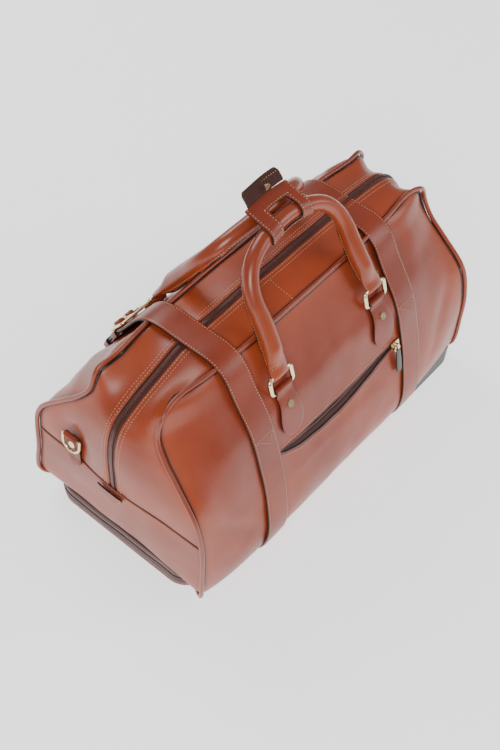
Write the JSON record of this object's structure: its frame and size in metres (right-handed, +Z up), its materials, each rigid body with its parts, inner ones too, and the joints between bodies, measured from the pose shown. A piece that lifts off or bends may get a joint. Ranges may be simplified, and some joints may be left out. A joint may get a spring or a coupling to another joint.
{
  "type": "weekender bag",
  "caption": "Soft leather weekender with a zipped top, buckled straps, two roll handles, outer zip pocket, D-rings, zipped base and a moulded end guard.",
  "frame": {"origin": "on the floor, under the middle of the bag, at the centre of the base mount", "axes": "+X to the guarded end, -Y to the pocket side, +Z up"},
  "size_m": [0.544, 0.2936, 0.4116],
  "materials": {
    "leather": "smooth, glossy chestnut",
    "piping": "smooth, satin",
    "dark_leather": "dark, satin",
    "zip_tape": "woven, dark brown",
    "zip_teeth": "dark antique",
    "lining": "woven cotton",
    "board": "matt",
    "guard": "fine textured black",
    "brass": "pale, polished"
  },
  "bodies": {
    "bag": {"front_panel": "leather", "back_panel": "leather", "front_gusset": "leather", "back_gusset": "leather", "left_end_panel": "leather", "right_end_panel": "leather", "bottom_panel": "leather", "left_strap": "leather", "right_strap": "leather", "strap_bases": "leather", "strap_keepers": "leather", "buckle_loops": "leather", "front_handle_tabs": "leather", "back_handle_tabs": "leather", "left_dee_tab": "leather", "right_dee_tab": "leather", "zip_end_patches": "leather", "base_tray": "leather", "front_piping": "piping", "back_piping": "piping", "main_zip_tape": "zip_tape", "pocket_zip_tapes": "zip_tape", "base_zip_tape": "zip_tape", "main_zip_teeth": "zip_teeth", "base_zip_teeth": "zip_teeth", "lining": "lining", "pocket_pouch": "lining", "base_board": "board", "end_guard": "guard", "tab_rivets": "brass", "dee_rivets": "brass"},
    "front_rings": {"front_rings": "brass"},
    "front_handle": {"front_handle": "leather", "handle_wrap": "leather"},
    "wrap_flap": {"wrap_flap": "dark_leather", "wrap_snap": "brass"},
    "back_rings": {"back_rings": "brass"},
    "back_handle": {"back_handle": "leather"},
    "left_dee": {"left_dee_ring": "brass"},
    "right_dee": {"right_dee_ring": "brass"},
    "main_slider": {"main_slider": "brass"},
    "main_pull": {"main_pull_ring": "brass", "main_pull_tab": "dark_leather"},
    "pocket_slider": {"pocket_slider": "brass"},
    "pocket_pull": {"pocket_pull_ring": "brass", "pocket_pull_tab": "dark_leather"},
    "base_slider": {"base_slider": "brass"},
    "base_pull": {"base_pull_ring": "brass", "base_pull_tab": "dark_leather"},
    "left_buckle": {"left_buckle_frame": "brass"},
    "left_prong": {"left_buckle_prong": "brass"},
    "right_buckle": {"right_buckle_frame": "brass"},
    "right_prong": {"right_buckle_prong": "brass"}
  },
  "joints": [
    {"name": "front_ring_hinge", "type": "hinge", "parent": "bag", "child": "front_rings", "pos_m": [0, -0.09696, 0.22912], "axis": [1, 0, 0], "range_deg": [0, 110]},
    {"name": "front_handle_swing", "type": "hinge", "parent": "front_rings", "child": "front_handle", "pos_m": [0, -0.09004, 0.25043], "axis": [1, 0, 0], "range_deg": [0, 80]},
    {"name": "back_ring_hinge", "type": "hinge", "parent": "bag", "child": "back_rings", "pos_m": [0, 0.09696, 0.22912], "axis": [-1, 0, 0], "range_deg": [0, 110]},
    {"name": "back_handle_swing", "type": "hinge", "parent": "back_rings", "child": "back_handle", "pos_m": [0, 0.09004, 0.25043], "axis": [-1, 0, 0], "range_deg": [0, 80]},
    {"name": "wrap_flap_fold", "type": "hinge", "parent": "front_handle", "child": "wrap_flap", "pos_m": [0, 0.017, 0.39555], "axis": [1, 0, 0], "range_deg": [-80, 20]},
    {"name": "left_dee_swing", "type": "hinge", "parent": "bag", "child": "left_dee", "pos_m": [-0.26657, 0.066, 0.16387], "axis": [0, 1, 0], "range_deg": [0, 150]},
    {"name": "right_dee_swing", "type": "hinge", "parent": "bag", "child": "right_dee", "pos_m": [0.26657, -0.066, 0.16387], "axis": [0, -1, 0], "range_deg": [0, 150]},
    {"name": "main_slider_run", "type": "slide", "parent": "bag", "child": "main_slider", "axis": [-0.124, 0, 0.9923], "range_m": [0, 0.07]},
    {"name": "main_pull_swing", "type": "hinge", "parent": "main_slider", "child": "main_pull", "pos_m": [0.26631, 0, 0.15063], "axis": [0, -1, 0], "range_deg": [0, 150]},
    {"name": "pocket_slider_run", "type": "slide", "parent": "bag", "child": "pocket_slider", "axis": [-1, 0, 0], "range_m": [0, 0.215]},
    {"name": "pocket_pull_swing", "type": "hinge", "parent": "pocket_slider", "child": "pocket_pull", "pos_m": [0.1075, -0.12875, 0.1537], "axis": [-1, 0, 0], "range_deg": [0, 120]},
    {"name": "base_slider_run", "type": "slide", "parent": "bag", "child": "base_slider", "axis": [-1, 0, 0], "range_m": [0, 0.015]},
    {"name": "base_pull_swing", "type": "hinge", "parent": "base_slider", "child": "base_pull", "pos_m": [-0.207, 0.1189, 0.01885], "axis": [0, 0, -1], "range_deg": [0, 120]},
    {"name": "left_buckle_swing", "type": "hinge", "parent": "bag", "child": "left_buckle", "pos_m": [-0.137, 0.10264, 0.23185], "axis": [-1, 0, 0], "range_deg": [0, 80]},
    {"name": "left_prong_swing", "type": "hinge", "parent": "bag", "child": "left_prong", "pos_m": [-0.137, 0.10264, 0.23185], "axis": [-1, 0, 0], "range_deg": [0, 110]},
    {"name": "right_buckle_swing", "type": "hinge", "parent": "bag", "child": "right_buckle", "pos_m": [0.137, 0.10264, 0.23185], "axis": [-1, 0, 0], "range_deg": [0, 80]},
    {"name": "right_prong_swing", "type": "hinge", "parent": "bag", "child": "right_prong", "pos_m": [0.137, 0.10264, 0.23185], "axis": [-1, 0, 0], "range_deg": [0, 110]}
  ]
}
